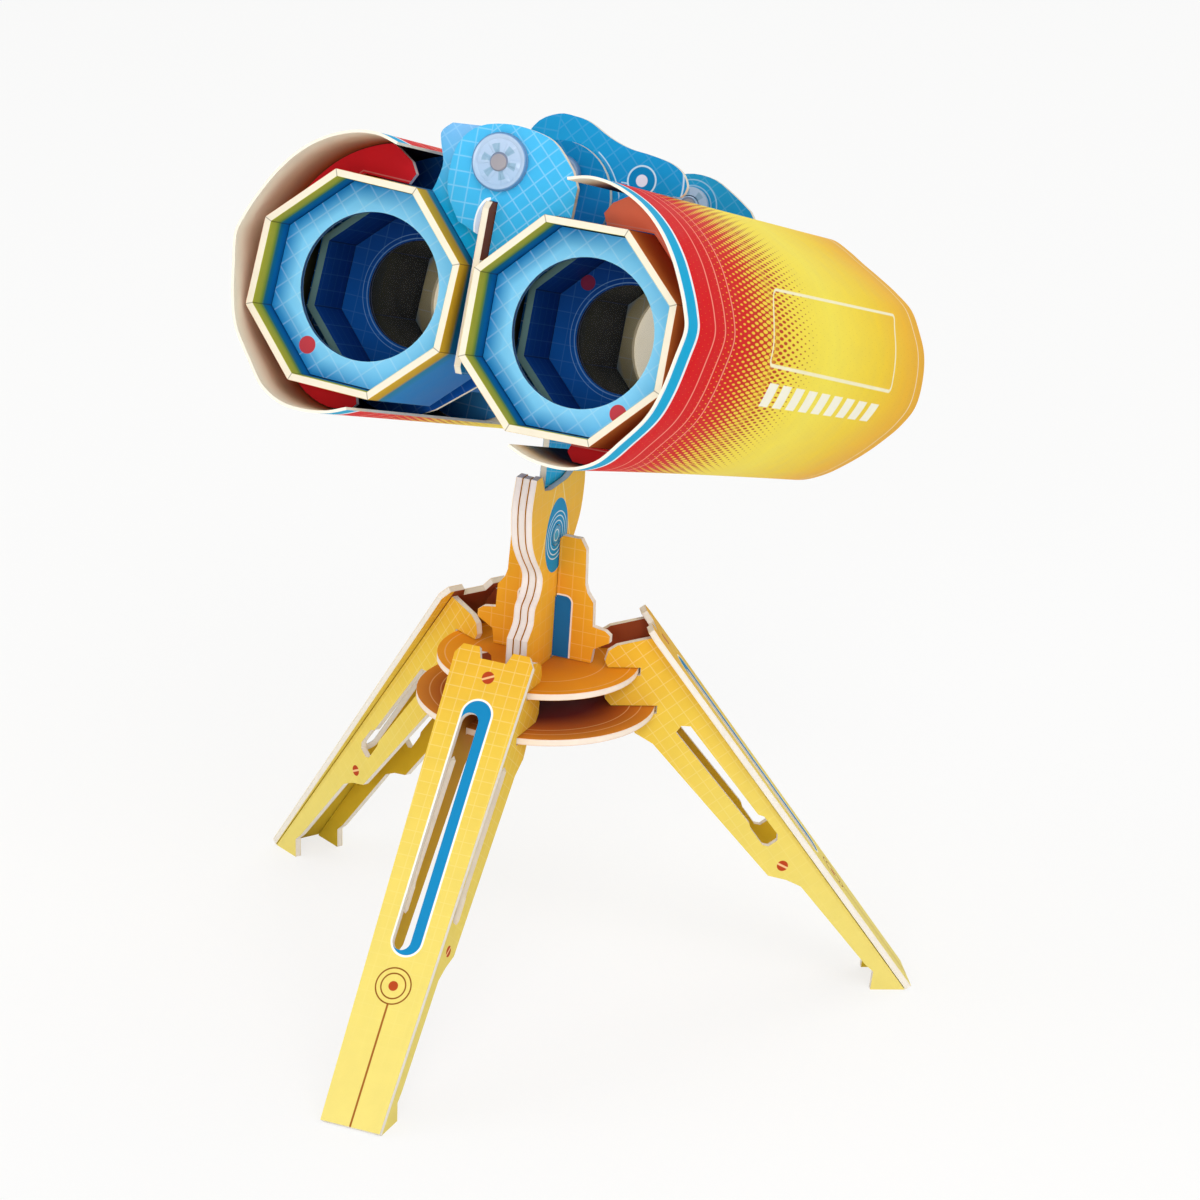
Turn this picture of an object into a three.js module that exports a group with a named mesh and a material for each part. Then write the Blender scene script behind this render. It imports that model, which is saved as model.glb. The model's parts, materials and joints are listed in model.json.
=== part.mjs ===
import * as THREE from 'three';

// Foam-board binoculars on a table tripod, in millimetres, +Z up, +Y the way the binoculars look.

// Board, card and fits
const board = 2;
const card = 0.8;
const clear = 0.3;

// Tripod
const footRadius = 120.2;
const legTopRadius = 34.3;
const legTopHeight = 114.2;
const legFootWidth = 18.4;
const legTopWidth = 24.6;
const sideSpan = 18;
const legSlotStart = 54.2;
const legSlotEnd = 126.4;
const legSlotWidth = 5.6;
const legSlotOffset = 1.6;
const upperDiscRadius = 29.9;
const upperDiscTop = 103.9;
const lowerDiscRadius = 35.4;
const lowerDiscTop = 91.9;
const hookReach = 18.6;

// Mast and tilt joint
const pivotHeight = 142.7;
const pinRadius = 3;
const mastShoulder = 19.6;
const mastWaist = 8.4;
const mastFoot = 17.3;
const mastRise = 22;
const tongueRadius = 8.6;
const stripLeast = 0.8;
const crossSetback = 3.4;
const crossHalf = 21.2;
const tiltDown = 18.3;

// Binoculars, measured from the rim plane of the eyepieces
const tubeAcross = 60;
const eyeSpacing = 62.8;
const eyeHole = 20.9;
const eyepieceLength = 45;
const eyeRingDepth = 12.5;
const innerTubeAcross = 49.4;
const innerTubeStart = 30;
const objectiveDepth = 106;
const lensRingDepth = 49;
const lensHole = 15.5;
const objectiveHole = 19.5;
const domeRise = 4;
const coverStart = -5;
const coverEnd = 215;
const hingeRise = 42.1;
const openAngle = 3;
const pivotBack = 95.8;
const pivotDrop = 60.3;
const rivetHead = 8.2;
const rivetPin = 3;
const frontPlateDepth = 9;
const midPlateDepth = 56;
const rearPlateDepth = 168;
const formerDepth = 20;
const endFormerDepth = 206;

const deg = Math.PI / 180;
const half = board / 2;
const lean = Math.atan2(footRadius - legTopRadius, legTopHeight);
const legLength = Math.hypot(footRadius - legTopRadius, legTopHeight);
const mid = eyeSpacing / 2;
const mastTop = pivotHeight + mastRise;
const tongueSeat = pivotHeight - tongueRadius - 3.9;

const paints = {
  leg: ['#f2d864', 0.62], disc: ['#e2963a', 0.62], mast: ['#f0a92c', 0.6], spine: ['#2f86c2', 0.6],
  tube: ['#c9843c', 0.62], ring: ['#6bb7e6', 0.6], inner: ['#2a59a8', 0.65], hinge: ['#58b4e4', 0.6],
  former: ['#d8222c', 0.6], cover: ['#f0b22a', 0.45], clear: ['#dfe8ee', 0.15], lens: ['#eef4f6', 0.08],
};

function paint(key) {
  const [color, roughness] = paints[key];
  const seeThrough = key === 'clear' || key === 'lens';
  return new THREE.MeshStandardMaterial({
    color, roughness, metalness: 0, transparent: seeThrough, opacity: seeThrough ? 0.4 : 1,
  });
}

// Points of a circle or arc
function arc(cx, cy, radius, from = 0, to = 360, steps = 40) {
  const closed = Math.abs(to - from) >= 360;
  const count = closed ? steps : steps + 1;
  return Array.from({ length: count }, (_, i) => {
    const angle = (from + (to - from) * i / steps) * deg;
    return [cx + radius * Math.cos(angle), cy + radius * Math.sin(angle)];
  });
}

// Eight corners of an octagon with a flat on top
function octagon(across, cx = 0, cy = 0) {
  return arc(cx, cy, across / 2 / Math.cos(22.5 * deg), 22.5, 382.5, 8);
}

// Smooth open line through the given points
function smooth(points, steps) {
  const line = new THREE.SplineCurve(points.map(([a, b]) => new THREE.Vector2(a, b)));
  return line.getPoints(steps).map((p) => [p.x, p.y]);
}

// Open line moved sideways by a distance, to the right of its direction when positive
function shifted(points, distance) {
  return points.map(([a, b], i) => {
    const [pa, pb] = points[Math.max(i - 1, 0)];
    const [na, nb] = points[Math.min(i + 1, points.length - 1)];
    const long = Math.hypot(na - pa, nb - pb);
    return [a + distance * (nb - pb) / long, b - distance * (na - pa) / long];
  });
}

function flat(points, holes, thickness) {
  const shape = new THREE.Shape(points.map(([a, b]) => new THREE.Vector2(a, b)));
  for (const hole of holes) {
    shape.holes.push(new THREE.Path(hole.map(([a, b]) => new THREE.Vector2(a, b))));
  }
  return new THREE.ExtrudeGeometry(shape, { depth: thickness, bevelEnabled: false, curveSegments: 1 });
}

function solid(name, geometry, key) {
  const mesh = new THREE.Mesh(geometry, paint(key));
  mesh.name = name;
  return mesh;
}

// Plate across the barrels: outline in x and height, thickness along the barrels from a depth on
function acrossPlate(name, key, points, holes, depth, thickness = board) {
  const mesh = solid(name, flat(points, holes, thickness).rotateX(Math.PI / 2), key);
  mesh.position.y = depth + thickness;
  return mesh;
}

// Plate along the middle plane: outline in y and z, thickness in x from a place on
function middlePlate(name, key, points, holes, place, thickness = board) {
  const turn = new THREE.Matrix4().makeBasis(
    new THREE.Vector3(0, 1, 0), new THREE.Vector3(0, 0, 1), new THREE.Vector3(1, 0, 0));
  const mesh = solid(name, flat(points, holes, thickness).applyMatrix4(turn), key);
  mesh.position.x = place;
  return mesh;
}

function turned(name, key, profile, depth, x = 0, z = 0) {
  const points = profile.map(([r, y]) => new THREE.Vector2(r, y));
  const mesh = solid(name, new THREE.LatheGeometry(points, 40), key);
  mesh.position.set(x, depth, z);
  return mesh;
}

const mirror = (points) => points.map(([a, b]) => [-a, b]).reverse();

// Legs
// A leg point from its distance up the outer face and its depth behind that face, as radius and height
function onLeg(along, depth) {
  return [
    footRadius - along * Math.sin(lean) - depth * Math.cos(lean),
    along * Math.cos(lean) - depth * Math.sin(lean),
  ];
}

function sideOutline() {
  const behind = board + clear;
  const start = onLeg(behind * Math.tan(lean), behind);
  const shelf = Math.sqrt(upperDiscRadius ** 2 - (sideSpan / 2 - board) ** 2) + clear;
  const lowShelf = Math.sqrt(lowerDiscRadius ** 2 - (sideSpan / 2 - board) ** 2) + clear;
  const hookTop = upperDiscTop + 7.2;
  const lip = lowerDiscTop - board - clear;
  const root = hookReach + 1.5;
  const topAlong = (hookTop + 2.4 + behind * Math.sin(lean)) / Math.cos(lean);
  return [
    start,
    [footRadius - 13.6, 0],
    onLeg(12.6, 6.9),
    onLeg(16, 7.6),
    onLeg(49.8, 9.6),
    onLeg(54.3, 12),
    onLeg(58.8, 15.7),
    onLeg(115.5, 20.4),
    [lowerDiscRadius - 6.5, lip - 6.2],
    [lowerDiscRadius - 8.2, lip - 3],
    [lowerDiscRadius - 8.2, lip],
    [lowShelf, lip],
    [lowShelf, lowerDiscTop + clear],
    [root + 1, lowerDiscTop + clear],
    [root - 0.8, lowerDiscTop + 2.4],
    [root - 1, upperDiscTop - board - 4.2],
    [root + 1.5, upperDiscTop - board - clear],
    [shelf, upperDiscTop - board - clear],
    [shelf, upperDiscTop + clear],
    [hookReach + 1, upperDiscTop + clear],
    [hookReach, upperDiscTop + 2.2],
    [hookReach + 0.8, upperDiscTop + 5.4],
    [hookReach + 3.4, hookTop],
    onLeg(topAlong, behind),
  ].map(([radius, z]) => [-radius, z]);
}

// Window of the side panel, wider at its lower end
const sideWindow = [
  [66.8, 7.2], [68.4, 6], [75.8, 6.2], [77.4, 7.3], [113.4, 8.2], [115.2, 10.4], [114.4, 12.8], [76.5, 11],
  [75, 11.6], [68.2, 11.6], [66.8, 10.4],
].map(([along, depth]) => onLeg(along, depth)).map(([radius, z]) => [-radius, z]);

function outerPanel(name) {
  const foot = (board + clear) * Math.tan(lean);
  const side = (along) => (legFootWidth + (legTopWidth - legFootWidth) * along / legLength) / 2;
  const top = legLength + 3.2;
  const notch = legTopWidth / 6;
  const points = [
    [-side(foot), foot], [side(foot), foot], [side(top - 3), top - 3], [side(top) - 2, top], [notch + 1.2, top],
    [notch, top - 3.4], [-notch, top - 3.4], [-notch - 1.2, top], [-side(top) + 2, top],
    [-side(top - 3), top - 3],
  ];
  const r = legSlotWidth / 2;
  const slot = [...arc(-legSlotOffset, legSlotEnd - r, r, 0, 180, 12),
    ...arc(-legSlotOffset, legSlotStart + r, r, 180, 360, 12)];
  const mesh = solid(name, flat(points, [slot], board), 'leg');
  mesh.rotation.x = Math.PI / 2 - lean;
  mesh.position.set(0, -footRadius + board * Math.cos(lean), -board * Math.sin(lean));
  return mesh;
}

function leg(number, turn) {
  const group = new THREE.Group();
  group.rotation.z = turn * deg;
  const outline = sideOutline();
  group.add(outerPanel(`leg${number}_outer_panel`));
  group.add(middlePlate(`leg${number}_left_side`, 'leg', outline, [sideWindow], -sideSpan / 2));
  group.add(middlePlate(`leg${number}_right_side`, 'leg', outline, [sideWindow], sideSpan / 2 - board));
  return group;
}

// Discs and mast
const mastHalf = half + clear + board;
const tenon = mastFoot / 2;

function disc(name, radius, top, holes) {
  const mesh = solid(name, flat(arc(0, 0, radius, 0, 360, 72), holes, board), 'disc');
  mesh.position.z = top - board;
  return mesh;
}

// Wavy front edge of the mast from its foot to its shoulder, as y and z
function mastEdge(top) {
  const rise = pivotHeight - upperDiscTop;
  const at = (part) => upperDiscTop + rise * part;
  const line = smooth([
    [-mastFoot, at(0.28)], [-(mastFoot + mastWaist) / 2 - 0.6, at(0.38)],
    [-(mastFoot + mastWaist) / 2, at(0.5)], [-mastWaist - 1.4, at(0.58)], [-mastWaist, at(0.68)],
    [-mastWaist - 1.2, at(0.77)],
    [-mastShoulder + 5, at(0.92)], [-mastShoulder + 1.4, at(1.08)], [-mastShoulder, at(1.33)],
    [-mastShoulder + 2.2, top],
  ], 36);
  return [[-mastFoot, upperDiscTop + clear], ...line];
}

const lapHeight = upperDiscTop + 0.7225 * (tongueSeat - upperDiscTop);

// Outline of a mast plate: foot with tenon and lap slot, wavy sides, and its own top
function mastOutline(frontTop, crown) {
  const front = mastEdge(frontTop);
  const back = mirror(mastEdge(mastTop));
  const lap = half + clear;
  const base = upperDiscTop + clear;
  const below = upperDiscTop - board - 1.7;
  return [
    [-tenon, base], [-tenon, below], [crossSetback - lap - 1, below], [crossSetback - lap - 1, base],
    [crossSetback - lap, base], [crossSetback - lap, lapHeight], [crossSetback + lap, lapHeight],
    [crossSetback + lap, base], [crossSetback + lap + 1, base], [crossSetback + lap + 1, below], [tenon, below],
    [tenon, base], ...crown(back, front),
  ];
}

function outerMast(name, place) {
  const dip = mastTop - 5;
  const outline = mastOutline(mastTop, (back, front) => [
    ...back.reverse(), [mastShoulder - 6, mastTop], [mastShoulder - 8.5, dip], [6, dip - 1.2],
    [-6, dip - 1.2], [-mastShoulder + 8.5, dip], [-mastShoulder + 6, mastTop], ...front.reverse(),
  ]);
  return middlePlate(name, 'mast', outline, [arc(0, pivotHeight, pinRadius + clear, 0, 360, 24)], place);
}

// Place across of a rising edge at a height, on the straight line between its points there
function edgeAt(edge, height) {
  const next = edge.findIndex(([, z]) => z > height);
  const [[y0, z0], [y1, z1]] = [edge[next - 1], edge[next]];
  return y0 + ((y1 - y0) * (height - z0)) / (z1 - z0);
}

// The middle mast plate keeps clear of the swing of the tongue, behind a front strip of a least width
function middleMast() {
  const strip = (front, y, z) => [Math.max(y, edgeAt(front, z) + stripLeast), z];
  const outline = mastOutline(mastTop, (back, front) => [
    ...back.reverse().filter(([, z]) => z < tongueSeat - 1), [mastWaist - 1, tongueSeat - 1],
    [3, tongueSeat - 2.5], [-3, tongueSeat - 2.5], strip(front, -mastWaist + 2, tongueSeat - 1),
    strip(front, -mastShoulder + 7, pivotHeight - 4), strip(front, -mastShoulder + 4.2, pivotHeight + 3),
    strip(front, -mastShoulder + 3.2, pivotHeight + 12), [-mastShoulder + 5, mastTop], ...front.reverse(),
  ]);
  return middlePlate('mast_middle_plate', 'mast', outline, [], -half);
}

function crossPlate() {
  const base = upperDiscTop + clear;
  const top = pivotHeight - 0.7;
  const slot = mastHalf + clear;
  const right = [
    [crossHalf - 5.6, base], [crossHalf - 5, base + 4.5], [crossHalf, base + 7.4], [crossHalf, base + 9.6],
    [crossHalf - 1.6, base + 10.8], [crossHalf - 5.6, base + 11.4], [crossHalf - 5.9, base + 18.8],
    [crossHalf - 8, base + 21.5], [crossHalf - 8.8, base + 24], [crossHalf - 9.2, top - 3],
    [crossHalf - 11, top], [slot + 1, top],
    [slot, top - 1], [slot, lapHeight - clear],
  ];
  const mesh = acrossPlate('mast_cross_plate', 'mast', [...right, ...mirror(right)], [], crossSetback - half);
  return mesh;
}

function tripod() {
  const group = new THREE.Group();
  const reach = tenon + clear;
  const across = mastHalf + clear;
  const slot = [[-across, -reach], [across, -reach], [across, reach], [-across, reach]];
  group.add(leg(1, 0), leg(2, 120), leg(3, -120));
  group.add(disc('upper_disc', upperDiscRadius, upperDiscTop, [slot]));
  group.add(disc('lower_disc', lowerDiscRadius, lowerDiscTop, []));
  group.add(outerMast('mast_left_plate', -mastHalf));
  group.add(middleMast());
  group.add(outerMast('mast_right_plate', half + clear));
  group.add(crossPlate());
  const pin = solid('tilt_pin', flat(arc(0, 0, pinRadius, 0, 360, 24), [], 2 * mastHalf), 'clear');
  pin.rotation.y = Math.PI / 2;
  pin.position.set(-mastHalf, 0, pivotHeight);
  group.add(pin);
  return group;
}

// Binoculars: outlines of the barrel plates are in u, outwards from the barrel axis, and height
const grow = tubeAcross / 60;
const scaled = (points) => points.map(([a, b]) => [a * grow, b * grow]);
const frontSection = smooth(scaled([
  [-6, 41], [0, 42.3], [6, 41.8], [12, 39.8], [18, 36.4], [23.4, 31.6], [28.2, 25.2], [32, 18], [34.6, 11.6],
  [35.9, 6], [34.6, -1.6], [32.4, -11.4], [29.2, -19.4], [23, -27.4], [17.6, -33.4], [11, -36.6], [4, -37.2],
  [-3, -36.2], [-9, -33.8],
]), 44);
const rearSection = smooth(scaled([
  [-6, 40.3], [0, 40.4], [5.5, 38], [11, 34.8], [17.5, 31.2], [23.6, 27.5], [29.2, 23.2], [33, 17],
  [35.9, 10.2], [36.9, 2], [36.1, -6], [32.6, -12.4], [28.2, -17.6], [23, -22.8], [17.2, -27.6],
  [11.4, -31.6], [4.5, -34.6], [-2.5, -35.2], [-9, -33.4],
]), 44);
const innerWall = -(mid - half - 2 * clear);

// Outside of the cover at a depth: it passes evenly from its front section to its rear one
function sectionAt(depth) {
  const part = depth / coverEnd;
  return frontSection.map(([u, h], i) => [
    u + (rearSection[i][0] - u) * part, h + (rearSection[i][1] - h) * part,
  ]);
}

const crest = (depth) => Math.max(...sectionAt(depth).map(([, h]) => h));

// Line just inside the cover at a depth, from a least width on
const liningFrom = (depth, least) => shifted(sectionAt(depth), card + clear).filter(([u]) => u >= least);

// Full former: inside of the cover and a straight side next to the spine plate
function formerOutline(depth) {
  return [
    [innerWall, 22 * grow], [-8 * grow, 37 * grow], ...liningFrom(depth, -5 * grow), [-10 * grow, -31 * grow],
    [innerWall, -14 * grow],
  ];
}

// Places an outline given from the barrel axis on its side of the middle plane
function onSide(points, side) {
  return side > 0 ? points.map(([u, h]) => [mid + u, h]) : points.map(([u, h]) => [-mid - u, h]).reverse();
}

// Closed skin between two counter-clockwise outlines with as many points, the first one at the near end
function loft(near, far, length) {
  const count = near.length;
  const rings = [...near.map(([x, h]) => [x, 0, h]), ...far.map(([x, h]) => [x, length, h])];
  const corners = (points) => points.map(([a, b]) => new THREE.Vector2(a, b));
  const lid = (points) => THREE.ShapeUtils.triangulateShape(corners(points), []);
  const index = lid(near).flat();
  for (const [a, b, c] of lid(far)) {
    index.push(count + a, count + c, count + b);
  }
  for (let i = 0; i < count; i += 1) {
    const j = (i + 1) % count;
    index.push(i, count + j, j, i, count + i, count + j);
  }
  const geometry = new THREE.BufferGeometry();
  geometry.setAttribute('position', new THREE.Float32BufferAttribute(rings.flat(), 3));
  geometry.setIndex(index);
  geometry.computeVertexNormals();
  return geometry;
}

function cover(side) {
  const wall = (section) => onSide([...shifted(section, card), ...[...section].reverse()], side);
  const name = side > 0 ? 'right_cover' : 'left_cover';
  const skin = loft(wall(sectionAt(coverStart)), wall(rearSection), coverEnd - coverStart);
  const mesh = solid(name, skin, 'cover');
  mesh.position.y = coverStart;
  return mesh;
}

function barrel(side) {
  const name = side > 0 ? 'right' : 'left';
  const group = new THREE.Group();
  const put = (suffix, key, points, holes, depth, thickness) => group.add(acrossPlate(`${name}_${suffix}`, key,
    onSide(points, side), holes.map((hole) => onSide(hole, side)), depth, thickness));
  const bore = tubeAcross - 2 * board;
  const innerBore = innerTubeAcross - 2 * board;
  put('eyepiece_tube', 'tube', octagon(tubeAcross), [octagon(bore)], 0, eyepieceLength);
  put('eyepiece_ring', 'ring', octagon(bore - 2 * clear), [arc(0, 0, eyeHole, 0, 360, 56)], eyeRingDepth);
  put('tube_spacer', 'ring', octagon(bore - 2 * clear), [octagon(innerTubeAcross + 2 * clear)],
    innerTubeStart + 6);
  put('inner_tube', 'inner', octagon(innerTubeAcross), [octagon(innerBore)], innerTubeStart,
    objectiveDepth - clear - innerTubeStart);
  put('lens_ring', 'inner', octagon(innerBore - 2 * clear), [arc(0, 0, lensHole, 0, 360, 48)], lensRingDepth);
  put('objective_plate', 'tube', formerOutline(objectiveDepth), [arc(0, 0, objectiveHole, 0, 360, 48)],
    objectiveDepth);
  put('lens_retainer', 'inner', octagon(innerTubeAcross), [arc(0, 0, objectiveHole, 0, 360, 48)],
    objectiveDepth + board + domeRise + 2 * clear);
  put('end_former', 'former', formerOutline(endFormerDepth), [arc(0, 0, 25 * grow, 0, 360, 48)],
    endFormerDepth);

  // Red crescent between the eyepiece tube and the outer half of the cover
  const tubeWall = octagon(tubeAcross + 2 * clear).filter(([u]) => u > 0).sort((a, b) => a[1] - b[1]);
  put('front_former', 'former', [[-1.5, tubeWall[3][1]], [-3, 33.4 * grow], [-1, 36.6 * grow],
    [4 * grow, 39.6 * grow], ...liningFrom(formerDepth, 5 * grow), [1, -35.4 * grow], [-1, -33 * grow],
    [0, tubeWall[0][1]], ...tubeWall], [], formerDepth);

  // Hollow eyepiece lens and domed objective lens
  const eyeLens = lensHole + 2.2;
  group.add(turned(`${name}_eyepiece_lens`, 'lens', [[0, 1], [eyeLens * 0.5, 0.75], [eyeLens * 0.9, 0],
    [eyeLens, 0], [eyeLens, 3.4], [eyeLens * 0.9, 3.4], [eyeLens * 0.5, 2.65], [0, 2.4]],
  lensRingDepth + board + clear, side * mid));
  const domed = objectiveHole + 2.5;
  group.add(turned(`${name}_objective_lens`, 'lens', [[0, 0], [domed, 0], [domed, domeRise],
    [domed * 0.88, domeRise], [domed * 0.84, domeRise * 0.6], [domed * 0.45, domeRise * 0.9], [0, domeRise]],
  objectiveDepth + board + clear, side * mid));
  group.add(cover(side));
  return group;
}

// Hinge plates, in x and height; the rivet holes lie on the hinge line
const rivetHole = arc(0, hingeRise, rivetPin + clear, 0, 360, 24);
const tubeCorner = tubeAcross / 2 * Math.tan(22.5 * deg);
const rim = tubeAcross / 2 + clear;
const spineTop = hingeRise - 11.2 * grow;

// Points about the hinge line
const fromHinge = (points) => scaled(points).map(([x, h]) => [x, hingeRise + h]);

function rightHinge() {
  const group = new THREE.Group();
  const gap = half + clear;
  const slot = spineTop + clear;
  const near = mid - tubeCorner;
  group.add(acrossPlate('right_front_hinge_plate', 'hinge', [
    [gap, rim - (near - gap) + 0.6], [near, rim], [near + 4.4 * grow, rim],
    [near + 4.6 * grow, hingeRise - 3.5 * grow],
    ...smooth([[near + 2.4 * grow, hingeRise + grow], ...fromHinge([[15, 7.6], [8, 10], [0, 10.6], [-8, 8.8],
      [-13, 4], [-14.6, -3], [-14, -10.6], [-9.4, -18]])], 28),
    [-gap, hingeRise - 21.4 * grow], [-gap, slot], [gap, slot],
  ], [rivetHole], frontPlateDepth));

  const former = (depth) => onSide(formerOutline(depth), 1);
  const hole = onSide(octagon(innerTubeAcross + 2 * clear), 1);
  const over = crest(midPlateDepth) + clear;
  const rearOver = crest(rearPlateDepth) - 3;
  const low = 16 * grow + clear;
  const past = (list) => list.filter(([x, h]) => !(x < mid - 4.5 * grow && h > 0));
  const saddle = [[mid - 7.2 * grow, over - 3.6], [mid - 7.2 * grow, over], [mid + 4.2 * grow, over],
    ...smooth([[mid + 5.2 * grow, over + 1.2], ...fromHinge([[37, 3.6], [35, 6.8], [31, 9], [24.4, 10.3],
      [18, 11.1], [11.6, 13.2], [5, 16.5], [0, 17.5], [-5, 17.4], [-11, 14], [-14.5, 6], [-12, -4]])], 40),
    ...fromHinge([[-6, -12]]), [-6 * grow, low], [gap, low]];
  group.add(acrossPlate('right_mid_plate', 'hinge', [...saddle.reverse(), ...past(former(midPlateDepth))],
    [hole, rivetHole], midPlateDepth + board + clear));

  const lobe = [[mid - 8 * grow, rearOver], ...smooth(fromHinge([[19, 1.6], [13, 5.6], [5.4, 9.4], [-3, 9.6],
    [-9.5, 5.6], [-11.4, -1], [-9, -8]]), 22), ...fromHinge([[-5, -12]]), [-5 * grow, low], [gap, low]];
  group.add(acrossPlate('right_rear_plate', 'hinge', [...lobe.reverse(), ...past(former(rearPlateDepth))],
    [arc(mid, 0, 25 * grow, 0, 360, 48), rivetHole], rearPlateDepth));
  return group;
}

function leftHinge() {
  const group = new THREE.Group();
  const near = -mid + tubeCorner;
  const keep = -half - 2 * clear;
  group.add(acrossPlate('left_front_hinge_plate', 'hinge', [
    [keep, hingeRise - 10.4 * grow], ...arc(0, hingeRise, 9.6 * grow, -88, 88, 20), ...fromHinge([[-12, 8.2]]),
    ...smooth(fromHinge([[-17.5, 7.6], [-20.2, 4.6], [-19.4, 1], [-17.6, -4], [-18.4, -10]]), 14),
    [near, rim], [keep, rim - (keep - near) + 0.2],
  ].reverse(), [rivetHole], frontPlateDepth + board + clear));

  const former = (depth) => onSide(formerOutline(depth), -1);
  const past = (list) => list.filter(([x, h]) => !(x > -mid + 4.5 * grow && h > 0));
  const low = 16 * grow + 3;
  const lobe = (radius, rise) => [[-mid + 8 * grow, 38.4 * grow], ...fromHinge([[-16, -1], [-12, 4]]),
    ...arc(0, hingeRise + rise * grow, radius * grow, 130, -75, 24), [keep, hingeRise + (rise - radius) * grow],
    [keep, low]];
  group.add(acrossPlate('left_mid_plate', 'hinge', [...lobe(16.2, -6), ...past(former(midPlateDepth))],
    [onSide(octagon(innerTubeAcross + 2 * clear), -1), rivetHole], midPlateDepth));
  group.add(acrossPlate('left_rear_plate', 'hinge', [...lobe(10, 0), ...past(former(rearPlateDepth))],
    [arc(-mid, 0, 25 * grow, 0, 360, 48), rivetHole], rearPlateDepth + board + clear));
  return group;
}

// Headed pin and snap-on cap of a rivet; the head faces the eyepieces when facing is 1
function rivet(name, depth, head, facing) {
  const group = new THREE.Group();
  const stack = 2 * board + 3 * clear;
  const pinEnd = stack + 2.6;
  const cap = rivetPin + clear;
  const profile = [[0, -1.6], [head - 0.6, -1.6], [head, -1], [head, 0], [rivetPin, 0], [rivetPin, pinEnd],
    [0, pinEnd]];
  const flip = (points) => (facing > 0 ? points : points.map(([r, y]) => [r, stack - clear - y]).reverse());
  group.add(turned(`${name}_rivet`, 'clear', flip(profile), depth - clear, 0, hingeRise));
  group.add(turned(`${name}_rivet_cap`, 'clear', flip([[cap, stack], [head * 0.72, stack],
    [head * 0.72, stack + 1.5], [cap, stack + 1.5], [cap, stack]]), depth - clear, 0, hingeRise));
  return group;
}

// Spine plate between the barrels, with the tongue that the tilt pin carries
function spinePlate() {
  const p = [pivotBack, -pivotDrop];
  const low = -17.2 * grow;
  const rear = rearPlateDepth + 12;
  const points = [
    [4.2, low + 2], [6.2, low], [p[0] - 24, low], [p[0] - 15, low - 9], [p[0] - 12.2, p[1] + 22],
    [p[0] - 9.4, p[1] + 9], ...arc(p[0], p[1], tongueRadius, 170, 370, 24), [p[0] + 9.4, p[1] + 9],
    [p[0] + 12.2, p[1] + 22], [p[0] + 15, low - 9], [p[0] + 24, low], [rear, low], [rear, 16 * grow],
    [34, 16 * grow], [30, spineTop - 6], [26, spineTop], [6, spineTop], [4.2, spineTop - 2],
  ];
  return middlePlate('spine_plate', 'spine', points, [arc(p[0], p[1], pinRadius + clear, 0, 360, 24)], -half);
}

function binoculars() {
  const pivot = new THREE.Group();
  pivot.position.z = pivotHeight;
  pivot.rotation.x = -tiltDown * deg;
  const frame = new THREE.Group();
  frame.position.set(0, -pivotBack, pivotDrop);
  frame.add(spinePlate(), barrel(1), rightHinge());
  frame.add(rivet('front', frontPlateDepth, rivetHead, 1));
  frame.add(rivet('mid', midPlateDepth, rivetHead * 0.75, 1));
  frame.add(rivet('rear', rearPlateDepth, rivetHead, -1));

  // The left barrel swings about the hinge line
  const swing = new THREE.Group();
  swing.position.z = hingeRise;
  swing.rotation.y = openAngle * deg;
  const hung = new THREE.Group();
  hung.position.z = -hingeRise;
  hung.add(barrel(-1), leftHinge());
  swing.add(hung);
  frame.add(swing);
  pivot.add(frame);
  return pivot;
}

const part = new THREE.Group();
part.name = 'binoculars_puzzle';
part.add(tripod(), binoculars());

// The origin is the middle of the part on the floor
part.updateMatrixWorld(true);
const box = new THREE.Box3().setFromObject(part, true);
const centre = box.getCenter(new THREE.Vector3());
part.position.set(-centre.x, -centre.y, -box.min.z);
part.updateMatrixWorld(true);

export default part;
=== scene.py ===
import bpy
import json
import math
import numpy as np
from mathutils import Matrix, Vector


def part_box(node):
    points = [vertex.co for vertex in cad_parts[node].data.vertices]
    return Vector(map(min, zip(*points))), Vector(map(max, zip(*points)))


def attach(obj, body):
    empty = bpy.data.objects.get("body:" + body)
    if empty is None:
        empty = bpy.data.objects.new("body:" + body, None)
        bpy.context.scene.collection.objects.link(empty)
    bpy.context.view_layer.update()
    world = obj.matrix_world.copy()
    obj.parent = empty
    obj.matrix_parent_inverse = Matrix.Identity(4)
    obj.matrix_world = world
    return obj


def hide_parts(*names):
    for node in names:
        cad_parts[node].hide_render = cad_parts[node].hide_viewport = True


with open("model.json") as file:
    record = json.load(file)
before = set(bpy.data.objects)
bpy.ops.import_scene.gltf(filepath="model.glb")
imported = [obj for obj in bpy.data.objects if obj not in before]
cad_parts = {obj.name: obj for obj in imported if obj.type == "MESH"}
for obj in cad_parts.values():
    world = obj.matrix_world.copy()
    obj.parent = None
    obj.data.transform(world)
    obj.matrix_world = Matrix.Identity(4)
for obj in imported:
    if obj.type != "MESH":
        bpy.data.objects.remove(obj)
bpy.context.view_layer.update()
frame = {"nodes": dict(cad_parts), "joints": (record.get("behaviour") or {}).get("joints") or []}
joints = {j["name"]: j for j in frame["joints"]}
mm = 0.001
board = 2.0  # thickness of the foam board, in mm
print("frame loaded:", len(frame["nodes"]), "nodes")

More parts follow.
